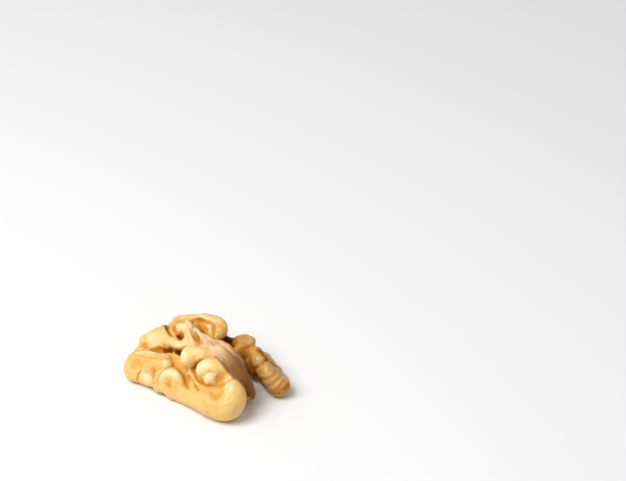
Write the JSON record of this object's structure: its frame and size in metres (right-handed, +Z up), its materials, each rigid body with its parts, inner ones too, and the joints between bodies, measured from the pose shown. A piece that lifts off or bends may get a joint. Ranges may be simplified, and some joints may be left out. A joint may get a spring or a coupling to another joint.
{
  "type": "walnut kernel half",
  "caption": "Shelled walnut kernel half: a large folded lobe and a slim lobe joined behind an open slit, lying on its flat side.",
  "frame": {"origin": "middle of the bottom of the bounding box, on the surface that the kernel lies on", "axes": "+Z up, -Y towards the open end of the slit between the two lobes, +X from the large lobe to the slim lobe"},
  "size_m": [0.0294, 0.0284, 0.0102],
  "materials": {
    "kernel_skin": "thin golden-tan seed skin with a faint gloss, darker brown in the furrows and on the papery wall along the slit"
  },
  "bodies": {
    "root": {"kernel": "kernel_skin"}
  },
  "joints": []
}
